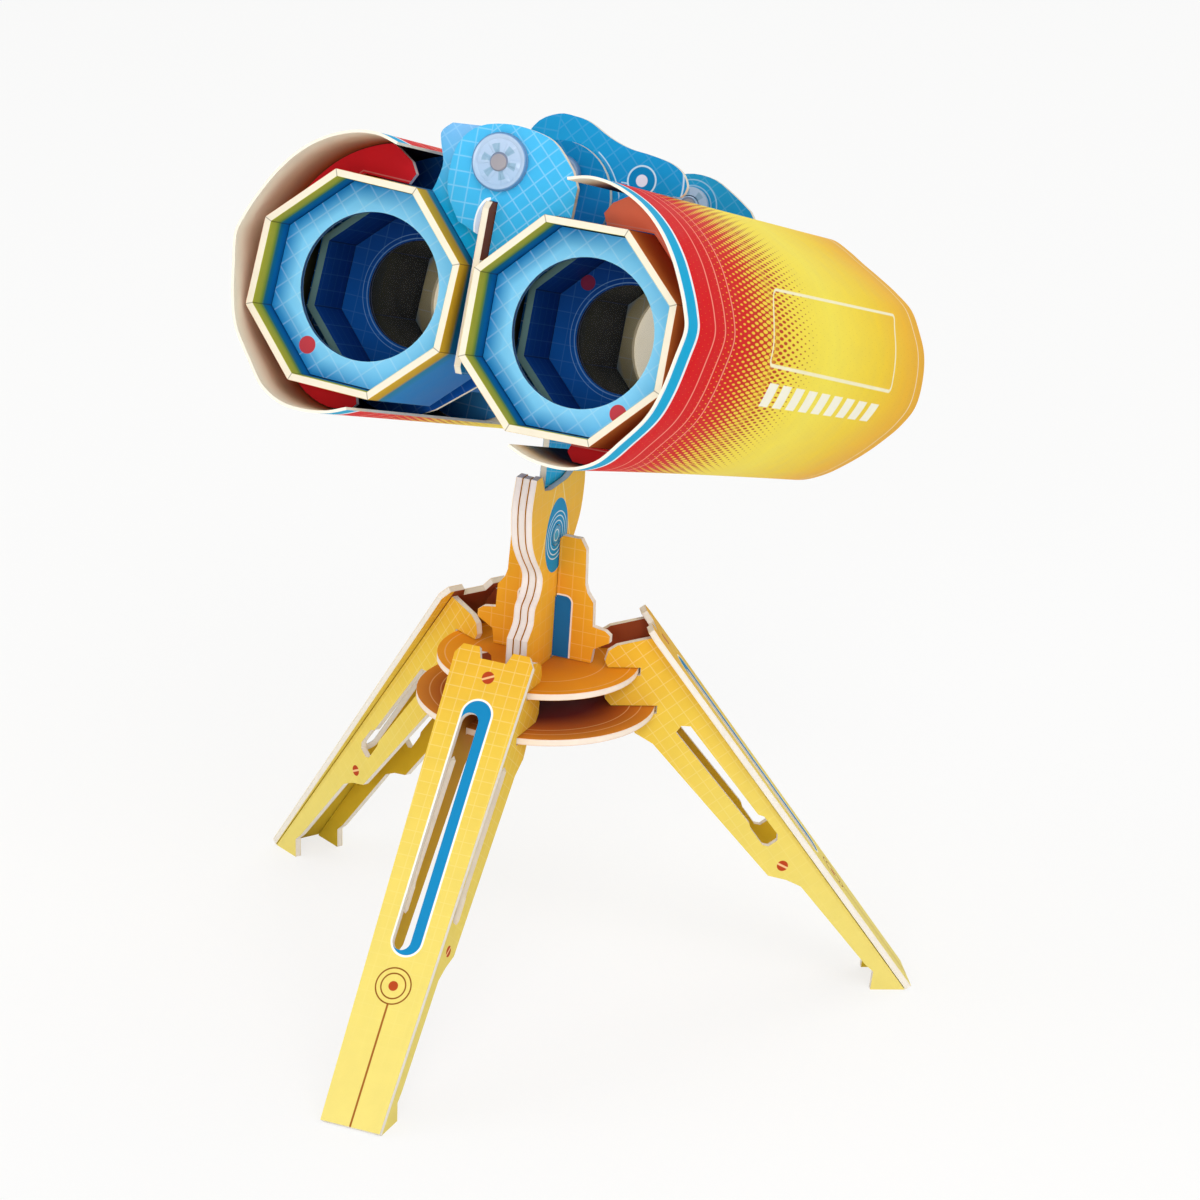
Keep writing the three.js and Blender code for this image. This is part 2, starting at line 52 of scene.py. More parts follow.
# Places that the pieces share, in metres: the tilt pin, the eye hinge and the middle of the tripod
tiltPin = np.array(joints["tilt"]["pos_m"])
lookWay = np.array(joints["eye_spacing"]["axis"])
tiltDown = -math.asin(lookWay[2])
riseWay = np.array([0.0, math.sin(tiltDown), math.cos(tiltDown)])
barrels = {"pinDepth": 95.8, "pinDrop": 60.3, "eyeHalf": 31.4, "hingeRise": 42.1, "opening": 3.0,
           "across": 60.0, "innerAcross": 49.4}
eyeMid = tiltPin - lookWay * barrels["pinDepth"] * mm + riseWay * barrels["pinDrop"] * mm
tripodMid = np.array([sum(c[i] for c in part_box("upper_disc")) / 2 for i in (0, 1)] + [0.0])
legs = {"footRadius": 120.2, "topRadius": 34.3, "topHeight": 114.2, "turns": (0, 120, -120)}
legLean = math.atan2(legs["footRadius"] - legs["topRadius"], legs["topHeight"])


# A point of the barrels (across, depth, height in mm) is carried into the frame along the tilted
# directions; on the left it is first turned about the hinge line by the opening
def barrelPoint(points, left=False):
    p = np.asarray(points, float).copy()
    if left:
        a = math.radians(barrels["opening"])
        x, h = p[:, 0].copy(), p[:, 2] - barrels["hingeRise"]
        p[:, 0] = x * math.cos(a) + h * math.sin(a)
        p[:, 2] = -x * math.sin(a) + h * math.cos(a) + barrels["hingeRise"]
    return eyeMid + mm * (p[:, :1] * np.array([1.0, 0, 0]) + p[:, 1:2] * lookWay + p[:, 2:] * riseWay)


# Camera: back points from the object to the lens, right and up are turned about it by the roll
view = {"turn": 21.33, "rise": 20.69, "roll": 3.85, "spot": (526.3, -1301.0, 652.9), "lens": 153.2,
        "sensor": 36.0, "nearest": 0.05}


def addCamera():
    turn, rise, roll = (math.radians(view[k]) for k in ("turn", "rise", "roll"))
    back = np.array([math.sin(turn) * math.cos(rise), -math.cos(turn) * math.cos(rise), math.sin(rise)])
    right = np.array([math.cos(turn), math.sin(turn), 0.0])
    up = np.cross(back, right)
    spot = np.array(view["spot"]) * mm + tripodMid
    lens = bpy.data.cameras.new("photoLens")
    lens.lens, lens.sensor_width, lens.clip_start = view["lens"], view["sensor"], view["nearest"]
    camera = bpy.data.objects.new("photoCamera", lens)
    matrix = np.eye(4)
    matrix[:3, 0] = right * math.cos(roll) + up * math.sin(roll)
    matrix[:3, 1] = up * math.cos(roll) - right * math.sin(roll)
    matrix[:3, 2], matrix[:3, 3] = back, spot
    camera.matrix_world = Matrix(matrix.tolist())
    bpy.context.scene.collection.objects.link(camera)
    bpy.context.scene.camera = camera


addCamera()
bpy.context.scene.view_settings.view_transform = "Standard"

# Nodes: the helpers add to the tree of the finish that was started last
tree = None


def ink(code):  # screen colour code to linear colour
    rgb = np.array([int(code[i:i + 2], 16) for i in (1, 3, 5)]) / 255
    linear = np.where(rgb <= 0.04045, rgb / 12.92, ((rgb + 0.055) / 1.055) ** 2.4)
    return (*linear.tolist(), 1.0)


def node(kind, **settings):
    made = tree.nodes.new(kind)
    for key, value in settings.items():
        setattr(made, key, value)
    return made


def plug(socket, value):  # link or plain value
    if isinstance(value, bpy.types.NodeSocket):
        tree.links.new(value, socket)
    else:
        socket.default_value = value


def calc(operation, a, b=0.0, c=0.0, clamp=False):
    made = node("ShaderNodeMath", operation=operation, use_clamp=clamp)
    for socket, value in zip(made.inputs, (a, b, c)):
        plug(socket, value)
    return made.outputs[0]


def fold(operation, *values):  # least or greatest of several distances
    total = values[0]
    for value in values[1:]:
        total = calc(operation, total, value)
    return total


def minus(a, b):
    return calc("SUBTRACT", a, b)


def away(a, at):  # distance from a straight line
    return calc("ABSOLUTE", minus(a, at))


def length(a, b):
    return calc("SQRT", calc("ADD", calc("MULTIPLY", a, a), calc("MULTIPLY", b, b)))


def spotDistance(a, b, ca, cb):
    return length(minus(a, ca), minus(b, cb))


def stripe(a, at, width):  # distance to a straight band
    return minus(away(a, at), width / 2)


def hoop(r, radius, width):  # distance to a band round a middle
    return minus(away(r, radius), width / 2)


def block(a, b, ca, cb, halfA, halfB, corner):  # rounded rectangle: length of the reach past its core
    pa = calc("MAXIMUM", minus(away(a, ca), halfA - corner), 0.0)
    pb = calc("MAXIMUM", minus(away(b, cb), halfB - corner), 0.0)
    return minus(length(pa, pb), corner)


def gridLines(a, b, pitch, width):  # distance to the nearest line of a square grid
    pa, pb = calc("PINGPONG", a, pitch / 2), calc("PINGPONG", b, pitch / 2)
    return minus(calc("MINIMUM", pa, pb), width / 2)


def inside(distance, soft=0.15):  # 1 where the distance is below nought
    return calc("MULTIPLY_ADD", distance, -1 / soft, 0.5, clamp=True)


def share(a, low, high):  # 0 at low, 1 at high
    return calc("MULTIPLY_ADD", a, 1 / (high - low), -low / (high - low), clamp=True)


def over(under, top, mask):  # top colour where the mask is 1
    made = node("ShaderNodeMix", data_type="RGBA")
    plug(made.inputs[0], mask)
    plug(made.inputs[6], ink(under) if isinstance(under, str) else under)
    plug(made.inputs[7], ink(top) if isinstance(top, str) else top)
    return made.outputs[2]


def part(mask, amount):  # weaker mask
    return calc("MULTIPLY", mask, amount)


def ramp(a, stops):  # colour by place, even between the stops
    low, high = stops[0][0], stops[-1][0]
    made = node("ShaderNodeValToRGB")
    elements = made.color_ramp.elements
    while len(elements) < len(stops):
        elements.new(0.5)
    for element, (at, code) in zip(elements, stops):
        element.position = (at - low) / (high - low)
        element.color = ink(code)
    plug(made.inputs[0], share(a, low, high))
    return made.outputs[0]


def localSpace(*steps):  # object coordinates carried back through each place and turn, in mm
    vector = node("ShaderNodeTexCoord").outputs["Object"]
    for place, turn, scale in steps:
        made = node("ShaderNodeMapping", vector_type="TEXTURE")
        made.inputs["Location"].default_value = tuple(place)
        made.inputs["Rotation"].default_value = tuple(turn)
        made.inputs["Scale"].default_value = (scale,) * 3
        tree.links.new(vector, made.inputs["Vector"])
        vector = made.outputs[0]
    split = node("ShaderNodeSeparateXYZ")
    tree.links.new(vector, split.inputs[0])
    return split.outputs[0], split.outputs[1], split.outputs[2]


def startFinish(name, roughness=0.6, specular=0.08):  # new material with one plain shader
    global tree
    material = bpy.data.materials.new(name)
    material.use_nodes = True
    tree = material.node_tree
    tree.nodes.clear()
    shader = node("ShaderNodeBsdfPrincipled")
    shader.inputs["Roughness"].default_value = roughness
    shader.inputs["Specular IOR Level"].default_value = specular
    tree.links.new(shader.outputs[0], node("ShaderNodeOutputMaterial").inputs[0])
    return material, shader


def noise(scale, detail=2.0):  # soft noise over the object's own coordinates
    made = node("ShaderNodeTexNoise")
    made.inputs["Scale"].default_value, made.inputs["Detail"].default_value = scale, detail
    tree.links.new(node("ShaderNodeTexCoord").outputs["Object"], made.inputs["Vector"])
    return made.outputs[0]


# Paper: print mottle, uneven gloss and a fine tooth
paper = {"cloud": 160.0, "cloudDetail": 4.0, "tooth": 2400.0, "mottle": 0.1, "gloss": 0.2, "relief": 0.0002}


def paperGrain(shader, colour, roughness=0.62, depth=0.05):
    cloud = noise(paper["cloud"], paper["cloudDetail"])
    shade = node("ShaderNodeHueSaturation")
    plug(shade.inputs["Value"], calc("MULTIPLY_ADD", cloud, paper["mottle"], 1 - paper["mottle"] / 2))
    plug(shade.inputs["Color"], colour)
    plug(shader.inputs["Base Color"], shade.outputs[0])
    gloss = calc("MULTIPLY_ADD", cloud, paper["gloss"], roughness - paper["gloss"] / 2)
    plug(shader.inputs["Roughness"], gloss)
    bump = node("ShaderNodeBump")
    bump.inputs["Strength"].default_value, bump.inputs["Distance"].default_value = depth, paper["relief"]
    plug(bump.inputs["Height"], noise(paper["tooth"]))
    plug(shader.inputs["Normal"], bump.outputs[0])


# Cut edge: bare board between the printed faces, with the line of its skin; t runs from one face to the other
cut = {"edge": "#efe9de", "line": "#d9cfc2", "skin": 0.3, "lineWidth": 0.12, "print": 0.07}


def cutEdge(colour, t, edge=cut["edge"]):
    half, middle = board / 2, board / 2 - cut["skin"]
    core = minus(away(t, half), half - cut["print"])
    line = stripe(calc("PINGPONG", minus(t, half), middle), middle, cut["lineWidth"])
    bare = over(edge, cut["line"], part(inside(line, 0.1), 0.6))
    return over(colour, bare, inside(core, 0.06))


# Screw marks: printed round heads with a slanted slot
screw = {"head": "#b8431f", "slot": "#f3c58a", "slant": 0.5, "slotHalf": 0.34}


def screwMark(colour, a, b, ca, cb, radius=1.9):
    head = inside(minus(spotDistance(a, b, ca, cb), radius))
    slant = away(minus(calc("MULTIPLY", minus(a, ca), screw["slant"]), minus(b, cb)), 0.0)
    slot = inside(minus(slant, screw["slotHalf"]), 0.2)
    return over(colour, over(screw["head"], screw["slot"], slot), head)


def dress(names, material):  # one material for each of the named solids
    for name in names:
        piece = frame["nodes"][name]
        piece.data.materials.clear()
        piece.data.materials.append(material)


# Legs: printed yellow, deeper towards the top, with a mustard inner side that turns brown near the top,
# partly print and partly painted shade; places in mm along the leg
legInk = {"outer": [(0, "#ead87a"), (40, "#e9d672"), (85, "#e9d062"), (118, "#e8c448"), (148, "#ebb32e")],
          "inner": [(0, "#dcc23c"), (70, "#d2ac26"), (118, "#c99a2c"), (132, "#b0602e"), (140, "#9c4a2a")],
          "grid": "#fbf0b4", "pitch": 3.7, "blue": "#1486bc", "rim": "#fbfaf0", "line": "#8a4a12",
          "spot": "#b4471f", "spotRadius": 1.45, "tail": "#9c5a1e", "slotLow": 57.4, "slotHigh": 125.9,
          "slotHalf": 4.4, "screw": 137.5, "target": 43.7, "rings": (5.3, 3.7),
          "sideScrews": ((58.9, 10.4), (128.6, 21.2)), "sideScrewRadius": 1.7, "sideIn": 7.0, "between": 9.1}


def legSpace(turn):  # across the panel, up along it and out of its face
    rest = ((0, -legs["footRadius"], 0), (math.pi / 2 - legLean, 0, 0), 1.0)
    return localSpace((tripodMid, (0, 0, math.radians(turn)), mm), rest)


def legFace(a, b, along):  # yellow with a pale grid that fades towards the foot
    lines = part(inside(gridLines(a, b, legInk["pitch"], 0.22), 0.2), share(along, 10, 140))
    return over(ramp(along, legInk["outer"]), legInk["grid"], part(lines, 0.32))


def finishLegPanel(number, turn):
    material, shader = startFinish(f"legPanelPrint{number}")
    across, along, out = legSpace(turn)
    colour = legFace(across, along, along)
    held = calc("MINIMUM", calc("MAXIMUM", along, legInk["slotLow"]), legInk["slotHigh"])
    slot = minus(length(across, minus(along, held)), legInk["slotHalf"])
    colour = over(over(colour, legInk["rim"], inside(minus(slot, 0.6))), legInk["blue"], inside(slot))
    colour = screwMark(colour, across, along, 0, legInk["screw"])
    r = spotDistance(across, along, 0, legInk["target"])
    circles = fold("MINIMUM", *[hoop(r, radius, 0.42) for radius in legInk["rings"]])
    colour = over(colour, legInk["line"], inside(circles))
    colour = over(colour, legInk["spot"], inside(minus(r, legInk["spotRadius"])))
    tail = fold("MAXIMUM", stripe(across, 0, 0.6), minus(along, legInk["target"] - legInk["rings"][0]))
    colour = over(colour, legInk["tail"], inside(tail))
    between = fold("MAXIMUM", minus(out, -board / 2), minus(calc("ABSOLUTE", across), legInk["between"]))
    # inner side: mustard print, turning brown near the top as painted shade
    colour = over(colour, ramp(along, legInk["inner"]), inside(between, 0.1))
    paperGrain(shader, cutEdge(colour, calc("ADD", out, board)))
    dress([f"leg{number}_outer_panel"], material)


def finishLegSides(number, turn):
    material, shader = startFinish(f"legSidePrint{number}")
    across, along, out = legSpace(turn)
    depth = calc("MULTIPLY", out, -1.0)
    colour = legFace(depth, along, along)
    for at, deep in legInk["sideScrews"]:
        colour = screwMark(colour, along, depth, at, deep, legInk["sideScrewRadius"])
    off = minus(calc("ABSOLUTE", across), legInk["sideIn"])
    # inner side: mustard print, turning brown near the top as painted shade
    colour = over(colour, ramp(along, legInk["inner"]), inside(minus(off, board / 2), 0.1))
    paperGrain(shader, cutEdge(colour, off))
    dress([f"leg{number}_left_side", f"leg{number}_right_side"], material)


for legNumber, legTurn in enumerate(legs["turns"], 1):
    finishLegPanel(legNumber, legTurn)
    finishLegSides(legNumber, legTurn)
print("legs finished")

# Discs: orange board by radius, with thin rings; the lower disc's dark maroon middle is print deepened by
# painted shade under the upper disc
discs = {"upper_disc": {"ink": [(0, "#c9752a"), (14, "#dc8c24"), (30, "#ec9c24")],
                        "rings": (27.6, 20.0), "top": 103.9},
         # dark maroon middle: print deepened by painted shade under the upper disc
         "lower_disc": {"ink": [(0, "#4e1517"), (18, "#6e1f1c"), (27, "#b05c24"), (36, "#da8c30")],
                        "rings": (31.5, 28.2), "top": 91.9}}
discInk = {"line": "#f2c98e", "edge": "#f6e6d6"}


def standSpace():  # frame directions, measured from the middle of the tripod
    return localSpace((tripodMid, (0, 0, 0), mm))


def finishDisc(name, look):
    material, shader = startFinish(name + "Print")
    x, y, z = standSpace()
    r = length(x, y)
    circles = fold("MINIMUM", *[hoop(r, radius, 0.3) for radius in look["rings"]])
    colour = over(ramp(r, look["ink"]), discInk["line"], part(inside(circles, 0.2), 0.6))
    paperGrain(shader, cutEdge(colour, minus(z, look["top"] - board), discInk["edge"]))
    dress([name], material)


for discName, discLook in discs.items():
    finishDisc(discName, discLook)

# Mast: yellow plates by height with a blue oval about the pin, and an orange cross plate
mastInk = {"plate": [(100, "#f6b030"), (125, "#fbbe3a"), (165, "#fccc58")],
           "core": [(100, "#dd9632"), (165, "#e9a840")], "cross": [(103, "#e8a028"), (141, "#f0b02c")],
           "shade": "#d4842a", "inner": "#d8963a", "grid": "#f8d48a", "pitch": 4.2, "ray": "#fff0b8",
           "oval": "#2196d0", "ovalHalf": 8.2, "arc": "#d9f2ff", "arcs": (4.4, 5.9, 7.2), "panel": "#1f6aa6",
           "panelRim": "#f4e8d8", "edge": "#f3e9e2", "coreEdge": "#ece2da", "pinHeight": 142.7,
           "plateIn": 1.3, "crossFront": 2.4}


def mastGrid(colour, a, b):
    lines = inside(gridLines(a, b, mastInk["pitch"], 0.24), 0.2)
    return over(colour, mastInk["grid"], part(lines, 0.3))


def finishMast():
    material, shader = startFinish("mastPrint")
    x, y, z = standSpace()
    up = minus(z, mastInk["pinHeight"])
    colour = mastGrid(ramp(z, mastInk["plate"]), y, z)
    rays = away(calc("MULTIPLY_ADD", up, 0.42, minus(calc("ABSOLUTE", y), 9.0)), 0.0)
    colour = over(colour, mastInk["ray"], part(inside(minus(rays, 0.25), 0.2), 0.8))
    oval = minus(length(y, calc("MULTIPLY", up, 0.72)), mastInk["ovalHalf"])
    colour = over(colour, mastInk["oval"], inside(oval))
    arcs = fold("MINIMUM", *[hoop(length(y, up), radius, 0.34) for radius in mastInk["arcs"]])
    colour = over(colour, mastInk["arc"], part(inside(fold("MAXIMUM", arcs, oval)), 0.9))
    off = minus(calc("ABSOLUTE", x), mastInk["plateIn"])
    colour = over(colour, mastInk["inner"], inside(minus(off, board / 2), 0.1))
    paperGrain(shader, cutEdge(colour, off, mastInk["edge"]))
    dress(["mast_left_plate", "mast_right_plate"], material)


def finishMastCore():
    material, shader = startFinish("mastCore")
    x, y, z = standSpace()
    paperGrain(shader, cutEdge(ramp(z, mastInk["core"]), calc("ADD", x, board / 2), mastInk["coreEdge"]))
    dress(["mast_middle_plate"], material)


def finishCrossPlate():
    material, shader = startFinish("crossPlatePrint")
    x, y, z = standSpace()
    off = calc("ABSOLUTE", x)
    colour = over(ramp(z, mastInk["cross"]), mastInk["shade"], part(share(off, 14, 3), 0.5))
    colour = mastGrid(colour, x, z)
    panel = block(off, z, 5.4, 110.0, 3.0, 13.4, 2.0)
    colour = over(colour, mastInk["panelRim"], inside(minus(panel, 0.5)))
    colour = over(colour, mastInk["panel"], inside(panel))
    paperGrain(shader, cutEdge(colour, minus(y, mastInk["crossFront"]), mastInk["edge"]))
    dress(["mast_cross_plate"], material)


# Tilt pin: blue button with one pale ring
pinInk = {"middle": "#3fb0de", "rim": "#1f8cc4", "line": "#e2f6ff", "lineAt": 1.7, "lineWidth": 0.34}


def finishPin():
    material, shader = startFinish("tiltPinPrint", 0.35, 0.3)
    x, y, z = standSpace()
    r = length(y, minus(z, mastInk["pinHeight"]))
    colour = over(pinInk["middle"], pinInk["rim"], share(r, 0.6, 3.0))
    line = inside(hoop(r, pinInk["lineAt"], pinInk["lineWidth"]))
    colour = over(colour, pinInk["line"], part(line, 0.9))
    paperGrain(shader, colour, 0.4, 0.02)
    dress(["tilt_pin"], material)


finishPin()
finishMast()
finishMastCore()
finishCrossPlate()
print("stand finished")


# Barrels: outward, depth and height coordinates of a side, in mm
def barrelSpace(side):
    steps = [(eyeMid, (-tiltDown, 0, 0), mm)]
    if side < 0:
        steps.append(((0, 0, barrels["hingeRise"]), (0, math.radians(barrels["opening"]), 0), 1.0))
    x, s, h = localSpace(*steps)
    if side < 0:
        h = calc("ADD", h, barrels["hingeRise"])
    return calc("MULTIPLY_ADD", x, float(side), -barrels["eyeHalf"]), s, h


def eightSided(u, h):  # half the width across flats of the octagon through a point
    pu, ph = calc("ABSOLUTE", u), calc("ABSOLUTE", h)
    return fold("MAXIMUM", pu, ph, calc("MULTIPLY", calc("ADD", pu, ph), math.sqrt(0.5)))


def cornerSeam(u, h):  # arc distance to the nearest corner of the octagon
    turn = calc("PINGPONG", minus(calc("ARCTAN2", h, u), math.pi / 8), math.pi / 8)
    return calc("MULTIPLY", turn, length(u, h))


barrelInk = {"grid": "#d8f0ff", "edge": "#e8dfca"}
sideNames = {1: "right", -1: "left"}

# Eyepiece and inner tubes: colours by depth from the rim, inside and outside; the inner tube's print goes to
# near black towards the objective and the outer side's red-orange darkens with depth, both painted shade
tubes = {"length": 45.0, "innerStart": 30.0, "innerEnd": 105.7,
         "inside": [(0, "#c3bd3a"), (4, "#b4b43c"), (6, "#7d9a3c"), (7.5, "#17708f"), (10, "#0668a8"),
                    (13.5, "#0a5ea0"), (15, "#56522c"), (30, "#3f3c22"), (45, "#2a281c")],
         "outside": [(0, "#d2ab2c"), (6, "#c29a2c"), (8, "#1f7f9e"), (14, "#1f7ec0"), (45, "#2a6cb0")],
         # outer side: red-orange print that darkens with depth as painted shade under the cover
         "warm": [(0, "#c9743a"), (8, "#c2622f"), (22, "#b04a26"), (45, "#7e3324")], "warmFrom": 3.0,
         # inner tube: navy and olive print, going to near black towards the objective as painted shade
         "deep": [(30, "#0f4aa0"), (49, "#0c3e8c"), (52, "#062a4c"), (66, "#0a3450"), (76, "#2a2e18"),
                  (88, "#0e0f08"), (92, "#060605"), (106, "#060605")],
         "deepOutside": [(30, "#1a4f9c"), (60, "#1f66b4"), (106, "#2f86c8")],
         "seam": "#2a2620", "rimSeam": "#8f8878", "deepSeam": "#0d2552", "deepGrid": "#7fb3e6",
         "deepEdgeShade": "#6a8c8c"}


def finishEyepieceTube(side):
    material, shader = startFinish(sideNames[side] + "TubePrint")
    u, s, h = barrelSpace(side)
    wall, seam = eightSided(u, h), cornerSeam(u, h)
    wallMid, half = (barrels["across"] - board) / 2, tubes["length"] / 2
    # outer side: red-orange print that darkens with depth as painted shade under the cover
    outer = over(ramp(s, tubes["outside"]), ramp(s, tubes["warm"]), inside(minus(tubes["warmFrom"], u), 1.0))
    colour = over(ramp(s, tubes["inside"]), outer, inside(minus(wallMid, wall), 0.2))
    colour = over(colour, tubes["seam"], part(inside(minus(seam, 0.16), 0.12), 0.55))
    rim = over(barrelInk["edge"], tubes["rimSeam"], part(inside(minus(seam, 0.14), 0.12), 0.8))
    ends = fold("MAXIMUM", minus(away(wall, wallMid), board / 2 - 0.06), minus(half - 0.06, away(s, half)))
    paperGrain(shader, over(colour, rim, inside(ends, 0.06)))
    dress([sideNames[side] + "_eyepiece_tube"], material)


def finishInnerTube(side):
    material, shader = startFinish(sideNames[side] + "InnerTubePrint")
    u, s, h = barrelSpace(side)
    start, end = tubes["innerStart"], tubes["innerEnd"]
    lines = part(inside(gridLines(s, h, 4.6, 0.2), 0.2), share(s, 58, 50))
    # navy and olive print, going to near black towards the objective as painted shade
    colour = over(ramp(s, tubes["deep"]), tubes["deepGrid"], part(lines, 0.16))
    colour = over(colour, tubes["deepSeam"], part(inside(minus(cornerSeam(u, h), 0.2), 0.2), 0.7))
    outer = inside(minus((barrels["innerAcross"] - board) / 2, eightSided(u, h)), 0.2)
    colour = over(colour, ramp(s, tubes["deepOutside"]), outer)
    ends = minus((end - start) / 2 - 0.1, away(s, (start + end) / 2))
    # ends: bare foam edge painted grey-teal as painted shade inside the tube
    paperGrain(shader, over(colour, tubes["deepEdgeShade"], inside(ends, 0.1)))
    dress([sideNames[side] + "_inner_tube"], material)


# Rings across a barrel: each starts at its depth from the rim
rings = {"eyeAt": 12.5, "sky": "#66c4f4", "pale": "#8ad4fa", "shade": "#0878b8", "spot": "#c8414b",
         "spotAt": (14.4, -19.9), "spotRadius": 2.5, "back": "#2b7fc0", "eyeEdgeShade": "#2f5f92",
         "lensAt": 49.0, "lens": ("#08519e", "#063a80"), "lensLine": "#8fb8e2", "lensGrid": "#7fb3e6",
         "mark": "#7a2340", "markAt": (-14.9, 13.8), "markRadius": 2.2, "lensEdgeShade": "#16345f",
         "objectiveAt": 106.0, "objectiveEdge": "#e9dfc8",
         "objective": [(18, "#d8caa0"), (23, "#c2b284"), (25.5, "#3f8fc4"), (38, "#2b7db8")],
         "spacerAt": 36.0, "retainerPast": 76.6, "plain": "#2b6fb4", "plainEdge": "#ece6da"}


def finishEyepieceRing(side):
    material, shader = startFinish(sideNames[side] + "RingPrint")
    u, s, h = barrelSpace(side)
    # lighter towards the hole and darker beside the upper outer walls: painted shade from the tube walls
    colour = over(rings["sky"], rings["pale"], share(length(u, h), 29, 21))
    shade = part(share(eightSided(u, h), 22.5, 28), share(calc("MULTIPLY", u, -float(side)), -12, 8))
    colour = over(colour, rings["shade"], shade)
    lines = inside(gridLines(calc("ADD", u, h), minus(u, h), 7.0, 0.5), 0.4)
    colour = over(colour, barrelInk["grid"], part(lines, 0.22))
    spot = minus(spotDistance(u, h, *rings["spotAt"]), rings["spotRadius"])
    colour = over(colour, rings["spot"], inside(spot))
    colour = over(colour, rings["back"], inside(minus(away(s, rings["eyeAt"] + board), 0.2), 0.1))
    # cut edge: bare foam painted dark blue as painted shade inside the tube
    paperGrain(shader, cutEdge(colour, minus(s, rings["eyeAt"]), rings["eyeEdgeShade"]))
    dress([sideNames[side] + "_eyepiece_ring"], material)


def finishLensRing(side):
    material, shader = startFinish(sideNames[side] + "LensRingPrint")
    u, s, h = barrelSpace(side)
    r = length(u, h)
    circles = fold("MINIMUM", hoop(r, 16.1, 0.3), hoop(r, 17.4, 0.2))
    colour = over(over(*rings["lens"], share(h, -6, 20)), rings["lensLine"], part(inside(circles), 0.5))
    colour = over(colour, rings["lensGrid"], part(inside(gridLines(u, h, 4.6, 0.2), 0.2), 0.12))
    mark = minus(spotDistance(u, h, *rings["markAt"]), rings["markRadius"])
    colour = over(colour, rings["mark"], inside(mark))
    # cut edge: bare foam painted dark navy as painted shade inside the tube
    paperGrain(shader, cutEdge(colour, minus(s, rings["lensAt"]), rings["lensEdgeShade"]))
    dress([sideNames[side] + "_lens_ring"], material)


def finishObjectivePlate(side):
    material, shader = startFinish(sideNames[side] + "ObjectivePrint")
    u, s, h = barrelSpace(side)
    lines = part(inside(gridLines(u, h, 6.0, 0.3), 0.2), 0.2)
    colour = over(ramp(length(u, h), rings["objective"]), barrelInk["grid"], lines)
    paperGrain(shader, cutEdge(colour, minus(s, rings["objectiveAt"]), rings["objectiveEdge"]))
    dress([sideNames[side] + "_objective_plate"], material)


def finishPlainRings(side):
    name = sideNames[side]
    material, shader = startFinish(name + "PlainRings")
    u, s, h = barrelSpace(side)
    lines = part(inside(gridLines(u, h, 5.0, 0.3), 0.2), 0.25)
    past = calc("MODULO", minus(s, rings["spacerAt"]), rings["retainerPast"])  # depth into either ring
    paperGrain(shader, cutEdge(over(rings["plain"], barrelInk["grid"], lines), past, rings["plainEdge"]))
    dress([name + "_lens_retainer", name + "_tube_spacer"], material)


# Formers: red crescents in front and the ends that carry the covers, colours from low to high; the paler
# salmon at the top of the right front crescent is painted light
formers = {"front_former": {"at": 20.0, "low": "#e2242a", "high": {1: "#ff8360", -1: "#e0222c"}},
           "end_former": {"at": 206.0, "low": "#d8862e", "high": {1: "#c22a2a", -1: "#c22a2a"}}}
formerInk = {"line": "#f0a59a", "lineAt": 31.0, "edge": "#f2e3dc"}


def finishFormer(side, piece, look):
    name = sideNames[side] + "_" + piece
    material, shader = startFinish(name + "Print")
    u, s, h = barrelSpace(side)
    # the right front crescent's paler top is painted light
    colour = over(look["low"], look["high"][side], share(h, -20, 38))
    line = inside(hoop(eightSided(u, h), formerInk["lineAt"], 0.35))
    colour = over(colour, formerInk["line"], part(line, 0.5))
    paperGrain(shader, cutEdge(colour, minus(s, look["at"]), formerInk["edge"]))
    dress([name], material)


# Hinge plates: blue with a grid that turns beside the hinge, and each plate's own marks; each plate's blue
# shifts from a dark to a light tone across it, and plates set further back are given deeper blues, both
# painted shade
hinges = {(1, "front_hinge_plate"): {"at": 9.0, "light": "#4cb8e8", "dark": "#36ace2", "bold": 0.3,
                                     "slot": (-1.0, 25.0, 6.6)},
          (-1, "front_hinge_plate"): {"at": 11.3, "light": "#8bbcee", "dark": "#0fa6d6", "bold": 0.2},
          (1, "mid_plate"): {"at": 58.3, "light": "#1fa2dc", "dark": "#0684c4", "bold": 0.08,
                             "eye": (23.4, 44.8)},
          (-1, "mid_plate"): {"at": 56.0, "light": "#0c92cc", "dark": "#0a4f9e", "bold": 0.08},
          (1, "rear_plate"): {"at": 168.0, "light": "#2aa4d4", "dark": "#0c86c0", "bold": 0.1,
                              "hoops": (4.6, 6.4, 8.2)},
          (-1, "rear_plate"): {"at": 170.3, "light": "#2aa4d4", "dark": "#0c86c0", "bold": 0.1,
                               "hoops": (5.6, 7.2)}}
hingeInk = {"grid": "#bfe6fa", "hoop": "#dff4ff", "eye": "#0a86c0", "eyeLine": "#d8f0fb",
            "eyeSpot": "#ece8f4", "slot": "#c9daf2", "slotLine": "#f2fbff", "slotNarrow": 1.9}


